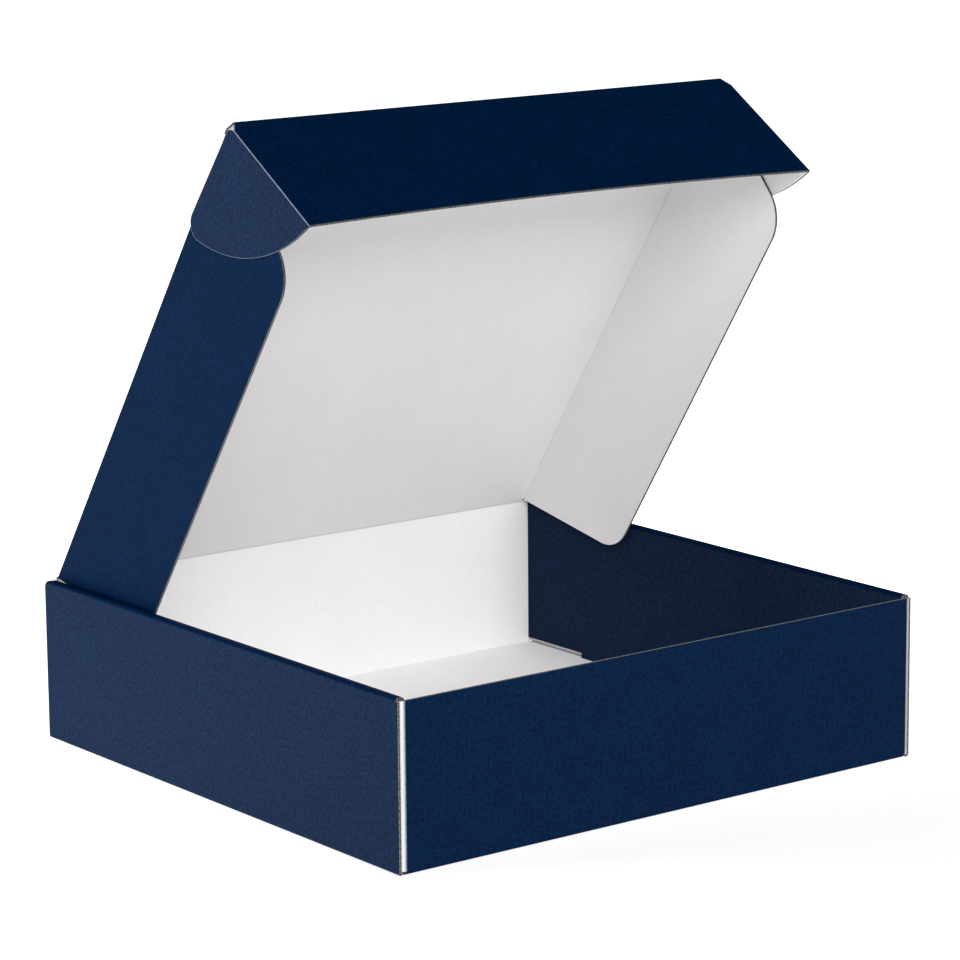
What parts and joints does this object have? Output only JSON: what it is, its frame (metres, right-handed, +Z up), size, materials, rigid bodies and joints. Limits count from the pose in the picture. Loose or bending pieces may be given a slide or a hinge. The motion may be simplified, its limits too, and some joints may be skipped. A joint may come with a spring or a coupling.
{
  "type": "bottle shipping box",
  "caption": "Shallow folded corrugated box for bottles laid flat: rolled-over side walls locked into the base, and a hinged lid with side flaps, a tuck flap and folded-back lock ears.",
  "frame": {"origin": "middle of the base's underside, on the floor that the box stands on", "axes": "+Z up, front wall with the tuck flap's side facing -Y, the lid's hinge at +Y, +X to the right seen from the front"},
  "size_m": [0.35, 0.335, 0.3653],
  "materials": {
    "board_navy": "matt dark blue print on the outside face, fine-flute board",
    "board_white": "matt white liner on the inside face, dark blue print outside"
  },
  "bodies": {
    "tray": {"tray": "board_navy"},
    "lid": {"lid": "board_white"},
    "tuck_flap": {"tuck_flap": "board_navy"},
    "lock_ear_left": {"lock_ear_left": "board_navy"},
    "lock_ear_right": {"lock_ear_right": "board_navy"},
    "side_flap_left": {"side_flap_left": "board_navy"},
    "side_flap_right": {"side_flap_right": "board_navy"}
  },
  "joints": [
    {"name": "lid_hinge", "type": "hinge", "parent": "tray", "child": "lid", "pos_m": [0, 0.1668, 0.0913], "axis": [-1, 0, 0], "range_deg": [-56, 124]},
    {"name": "tuck_flap_fold", "type": "hinge", "parent": "lid", "child": "tuck_flap", "pos_m": [0, -0.01755, 0.36461], "axis": [-1, 0, 0], "range_deg": [-8, 88.5]},
    {"name": "lock_ear_left_fold", "type": "hinge", "parent": "tuck_flap", "child": "lock_ear_left", "pos_m": [-0.1685, -0.01755, 0.36461], "axis": [0, 0.8434, 0.5373], "range_deg": [0, 90]},
    {"name": "lock_ear_right_fold", "type": "hinge", "parent": "tuck_flap", "child": "lock_ear_right", "pos_m": [0.1685, -0.01755, 0.36461], "axis": [0, -0.8434, -0.5373], "range_deg": [0, 90]},
    {"name": "side_flap_left_fold", "type": "hinge", "parent": "lid", "child": "side_flap_left", "pos_m": [-0.1661, 0.16622, 0.09091], "axis": [0, -0.5592, 0.829], "range_deg": [0, 80]},
    {"name": "side_flap_right_fold", "type": "hinge", "parent": "lid", "child": "side_flap_right", "pos_m": [0.1661, 0.16622, 0.09091], "axis": [0, 0.5592, -0.829], "range_deg": [0, 80]}
  ]
}
